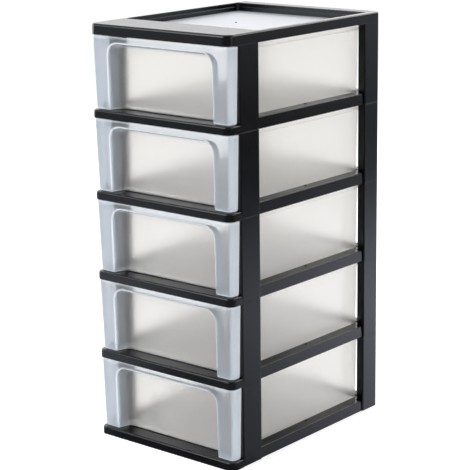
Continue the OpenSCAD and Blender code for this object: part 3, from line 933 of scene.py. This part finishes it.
ledge_nubs = nubs("ledge_gate_nubs", TIERS, LEDGE_NUB_MM, BOTH_SIDES)
# The panel's nub is black: painted shade for the dark speck on the white panel
panel_nub = nubs("panel_gate_nub", 1, PANEL_NUB_MM, ONE_SIDE)
for piece in (ledge_nubs, panel_nub):
    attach(piece, "tower")
    print(piece.name, len(piece.data.polygons), "faces")

# %% [markdown]
# ## The paper and the room
# The tower stands on a sheet of white paper in a white room. Real white paper, lit until it looks
# white, throws so much light on a pale object that its walls clip. So the Light Path node asks who
# is looking. To the eye, paper and room are plain white. As a source of soft light they are dimmer.
# Glossy plastic and see-through walls get pictures of their own, as a studio gives them with
# cards and screens.
#
# ### What glossy plastic sees of the paper
# The black posts and rails take most of their look from the paper that they mirror. Behind the
# tower it is bright near the foot and fades with distance, more slowly towards the left, so that
# upright faces darken towards the top. In front it is bright at the left only. One smooth gradient
# can't do both, so each has its own and a narrow blend joins them beside the tower.
# All distances are metres on the floor, from the middle of the tower.

# %% The mirrored paper behind the tower
RIGHT_LEAN = 0.75  # a metre to the right counts as this much less far back
BEHIND_NEAR = ends(-0.3, 0.45, 0.4, 1.75)  # near the tower: bright at the back left
BEHIND_FAR = ends(0.22, 0.38, 0.03, 0.33)  # far away: almost black at the right, dim at the left
FADE_SLOWS = ends(0.22, 0.38, 1.0, 0.78)  # at the left, distance counts for less
BEHIND_FADE = ends(0.7, 1.65, 0.0, 1.0)  # where near passes into far


def paper_behind(tree, xyz, reach):
    """How bright the paper behind the tower is as a mirror image."""
    lean = add(tree, "ShaderNodeMath", TIMES, in0=xyz["X"], in1=RIGHT_LEAN)
    across = add(tree, "ShaderNodeMath", MINUS, in0=xyz["Y"], in1=lean)
    left = add(tree, "ShaderNodeMath", OVER, in0=across, in1=reach)
    near = add(tree, "ShaderNodeMapRange", {"interpolation_type": "SMOOTHSTEP"}, Value=across,
               **BEHIND_NEAR)
    far = add(tree, "ShaderNodeMapRange", Value=left, **BEHIND_FAR)
    slower = add(tree, "ShaderNodeMapRange", Value=left, **FADE_SLOWS)
    distance = add(tree, "ShaderNodeMath", TIMES, in0=reach, in1=slower)
    fade = add(tree, "ShaderNodeMapRange", Value=distance, **BEHIND_FADE)
    return add(tree, "ShaderNodeMix", NUMBERS, Factor=fade, A=near, B=far)


print(f"behind the tower the paper has faded {BEHIND_FADE['From_Max']} m away")

# %% The mirrored paper in front of the tower
FRONT_LEFT = ends(-0.65, -0.45, 1.0, 0.25)  # bright at the left, dim everywhere else
FRONT_FADE = ends(1.2, 2.4, 1.05, 0.3)  # dim far away
# A painted shadow: the mirrored paper is made darker close to the tower's foot
FRONT_PAINTED_SHADOW = ends(0.2, 0.45, 0.3, 1.0)  # and dim in the tower's own shadow, close to its foot


def paper_in_front(tree, xyz, reach):
    """How bright the paper in front of the tower is as a mirror image."""
    side = add(tree, "ShaderNodeMath", OVER, in0=xyz["X"], in1=reach)
    left = add(tree, "ShaderNodeMapRange", Value=side, **FRONT_LEFT)
    fade = add(tree, "ShaderNodeMapRange", Value=reach, **FRONT_FADE)
    painted_shadow = add(tree, "ShaderNodeMapRange", Value=reach, **FRONT_PAINTED_SHADOW)
    level = add(tree, "ShaderNodeMath", TIMES, in0=fade, in1=painted_shadow)
    return add(tree, "ShaderNodeMath", TIMES, in0=left, in1=level)


print(f"in front it has faded {FRONT_FADE['From_Max']} m away")

# %% The whole mirrored paper
FRONT_TO_BEHIND = ends(-0.2, -0.1, 0.0, 1.0)  # the blend, under the front of the tower
FAR_EDGE = ends(4.2, 4.8, 0.0, 0.35)  # more light towards the far edge


def mirrored_paper(tree, place):
    """How bright each place of the paper is as a mirror image. It lightens again at its far edge."""
    xyz = add(tree, "ShaderNodeSeparateXYZ", Vector=place).outputs
    reach = add(tree, "ShaderNodeVectorMath", {"operation": "LENGTH"}, in0=place)
    behind = paper_behind(tree, xyz, reach)
    front = paper_in_front(tree, xyz, reach)
    share = add(tree, "ShaderNodeMapRange", Value=xyz["Y"], **FRONT_TO_BEHIND)
    level = add(tree, "ShaderNodeMix", NUMBERS, Factor=share, A=front, B=behind)
    edge = add(tree, "ShaderNodeMapRange", Value=reach, **FAR_EDGE)
    return add(tree, "ShaderNodeMath", PLUS, in0=level, in1=edge)


print(f"the mirrored paper lightens again past {FAR_EDGE['From_Min']} m")

# %% [markdown]
# ### The paper
# Seen through a drawer the paper is dim in front of the tower and white behind it. The black shelf
# in front of a window mirrors that window. At so flat an angle milky plastic spreads most of the
# light and lets little pass, so the mirror image is dark on a real tower. So a path that goes
# through a drawer after it was mirrored gets only a quarter of the light.

# %% The paper
FLOOR_SIZE = 12.0
FLOOR_GLOW = 0.6  # lifts the paper to white for the eye, but leaves the tower's shadow on it
MIRRORED_PAPER = "#eef0ff"
THROUGH_PAPER = ends(-0.5, -0.1, 0.2, 1.05)  # dim in front of the tower, white behind it
DRAWER_IN_GLOSS = ends(0.0, 1.0, 1.0, 0.25)  # all of the light, or a quarter after a mirror image


def white_paper():
    """Matt paper: white to the eye, with the deep part of the shadow, and fading in reflections."""
    material, tree = new_material("white_paper")
    seen = add(tree, "ShaderNodeLightPath").outputs
    place = add(tree, "ShaderNodeTexCoord").outputs["Object"]
    paper = add(tree, "ShaderNodeBsdfDiffuse", Color=srgb("#f2f2f2"))
    lift = add(tree, "ShaderNodeMath", TIMES, in0=seen["Is Camera Ray"], in1=FLOOR_GLOW)
    glow = add(tree, "ShaderNodeEmission", Strength=lift)
    shown = add(tree, "ShaderNodeAddShader", in0=paper, in1=glow)
    depth = add(tree, "ShaderNodeSeparateXYZ", Vector=place).outputs["Y"]
    white = add(tree, "ShaderNodeMapRange", Value=depth, **THROUGH_PAPER)
    dimmed = add(tree, "ShaderNodeMapRange", Value=seen["Glossy Depth"], **DRAWER_IN_GLOSS)
    through = add(tree, "ShaderNodeMath", TIMES, in0=white, in1=dimmed)
    level = add(tree, "ShaderNodeMix", NUMBERS, Factor=seen["Is Transmission Ray"],
                A=mirrored_paper(tree, place), B=through)
    tint = add(tree, "ShaderNodeMix", COLOURS, Factor=seen["Is Transmission Ray"],
               A=srgb(MIRRORED_PAPER), B=PLAIN_WHITE)
    plain = add(tree, "ShaderNodeEmission", Color=tint, Strength=level)
    indirect = add(tree, "ShaderNodeMath", LARGER, in0=seen["Is Transmission Ray"],
                   in1=seen["Is Glossy Ray"])
    surface = add(tree, "ShaderNodeMixShader", in0=indirect, in1=shown, in2=plain)
    add(tree, "ShaderNodeOutputMaterial", Surface=surface)
    return material


half = FLOOR_SIZE / 2
floor_mesh = bpy.data.meshes.new("floor")
floor_mesh.from_pydata([(-half, -half, 0), (half, -half, 0), (half, half, 0), (-half, half, 0)],
                       [], [(0, 1, 2, 3)])
floor_mesh.materials.append(white_paper())
new_object("floor", floor_mesh)
print(f"the paper is {FLOOR_SIZE:.0f} m across")

# %% [markdown]
# ### The room
# Mirrored in the plastic, the room is white behind the tower's left and dim at the camera's side.
# Seen through the plastic it is white behind the tower and dim in front, where the camera stands.
# Light that has been spread once by a milky wall finds the front of the room brighter, which keeps
# the insides of the front block from turning grey. A picture of a real studio could be wrapped
# round the scene, but a few ramps say the same and are easy to change.

# %% The room
SKY, SKY_COLOUR = 0.52, "#f3f7ff"
ROOM_BACK = ends(-0.7, 0.5, 0.25, 1.18)  # as a mirror image: dim in front, white behind
ROOM_LEFT = ends(0.1, 0.6, 1.0, 0.25)  # and dimmer at the right
FRONT_ONCE_SPREAD = ends(0.0, 1.0, 0.15, 0.8)  # the front of the room, before and after spreading
THROUGH_BACK = {"From_Min": -0.5, "From_Max": 0.0, "To_Max": 1.15}


def room_mirrored(tree, xyz):
    """How bright the room is as a mirror image, in each direction."""
    back = add(tree, "ShaderNodeMapRange", Value=xyz["Y"], **ROOM_BACK)
    left = add(tree, "ShaderNodeMapRange", Value=xyz["X"], **ROOM_LEFT)
    return add(tree, "ShaderNodeMath", TIMES, in0=back, in1=left)


def room_seen_through(tree, xyz, seen):
    """How bright the room is behind see-through plastic, in each direction."""
    front = add(tree, "ShaderNodeMapRange", Value=seen["Diffuse Depth"], **FRONT_ONCE_SPREAD)
    white = add(tree, "ShaderNodeMapRange", Value=xyz["Y"], To_Min=front, **THROUGH_BACK)
    dimmed = add(tree, "ShaderNodeMapRange", Value=seen["Glossy Depth"], **DRAWER_IN_GLOSS)
    return add(tree, "ShaderNodeMath", TIMES, in0=white, in1=dimmed)


def studio_world():
    """White to the eye, SKY for soft light, and pictures of their own for gloss and for walls."""
    world = bpy.data.worlds.new("studio")
    world.use_nodes = True
    tree = world.node_tree
    tree.nodes.clear()
    seen = add(tree, "ShaderNodeLightPath").outputs
    way = add(tree, "ShaderNodeTexCoord").outputs["Generated"]
    xyz = add(tree, "ShaderNodeSeparateXYZ", Vector=way).outputs
    soft = add(tree, "ShaderNodeMix", NUMBERS, Factor=seen["Is Glossy Ray"], A=SKY,
               B=room_mirrored(tree, xyz))
    shown = add(tree, "ShaderNodeMath", LARGER, in0=seen["Is Camera Ray"], in1=soft)
    level = add(tree, "ShaderNodeMix", NUMBERS, Factor=seen["Is Transmission Ray"],
                A=shown, B=room_seen_through(tree, xyz, seen))
    sight = add(tree, "ShaderNodeMath", LARGER, in0=seen["Is Camera Ray"], in1=seen["Is Glossy Ray"])
    tint = add(tree, "ShaderNodeMix", COLOURS, Factor=sight, A=srgb(SKY_COLOUR), B=PLAIN_WHITE)
    light = add(tree, "ShaderNodeBackground", Color=tint, Strength=level)
    add(tree, "ShaderNodeOutputWorld", Surface=light)
    return world


bpy.context.scene.world = studio_world()
print("the world has", len(bpy.context.scene.world.node_tree.nodes), "nodes")

# %% [markdown]
# ## Lamps
# Large soft boxes stand round the tower, so that every shadow has a soft edge. Spot lamps would
# draw hard lines on satin plastic. Two boxes at the left light the lobes and the drawers' fronts,
# a small warm one at the right lights the drawers' sides, and two behind shine through the milky
# walls and put the pale sheen on the top cover. A box's brightness is that of its face, so moving
# or resizing it keeps its look in reflections.

# %% Lamps
MIDDLE, TOP_DRAWER, TOP_COVER = (0, 0, 0.3), (0, 0, 0.6), (0, 0, 0.62)
SOFT_BOXES = (
    # name, place, aim, width and height in metres, brightness, colour
    ("left_lamp", (-2.4, -0.5, 0.9), MIDDLE, (1.4, 1.4), 3.8, "#fbfbfd"),
    ("left_front_lamp", (-1.25, -2.2, 1.7), MIDDLE, (1.5, 1.5), 4.7, "#f9fbff"),
    ("right_lamp", (2.13, 0.5, 0.9), TOP_DRAWER, (1.0, 1.0), 2.2, "#fffaf4"),
    ("back_wall_lamp", (-1.3, 1.93, 1.95), TOP_COVER, (3.0, 1.4), 1.6, "#ffffff"),
    ("back_top_lamp", (0.35, 2.0, 1.65), MIDDLE, (2.2, 0.9), 3.4, "#ffffff"),
)


def soft_box(name, place, aim, size, brightness, colour):
    """An oblong lamp at place, turned to aim, whose face glows with a given brightness."""
    lamp = bpy.data.lights.new(name, "AREA")
    lamp.shape = "RECTANGLE"
    lamp.size, lamp.size_y = size
    lamp.energy = brightness * math.pi * size[0] * size[1]
    lamp.color = srgb(colour)[:3]
    thing = bpy.data.objects.new(name, lamp)
    bpy.context.scene.collection.objects.link(thing)
    turn = (Vector(aim) - Vector(place)).to_track_quat("-Z", "Y")
    thing.matrix_world = Matrix.Translation(place) @ turn.to_matrix().to_4x4()
    thing.visible_camera = False
    return thing


for box in SOFT_BOXES:
    print(soft_box(*box).name, "gives", round(bpy.data.lights[box[0]].energy), "W")

# %% [markdown]
# ## Plain colours
# Other view transforms bend colours towards those of film. The Standard one shows each colour as
# it is written, which is what a reusable part needs.

# %% The view
view = bpy.context.scene.view_settings
view.view_transform = "Standard"
print("view transform:", view.view_transform)
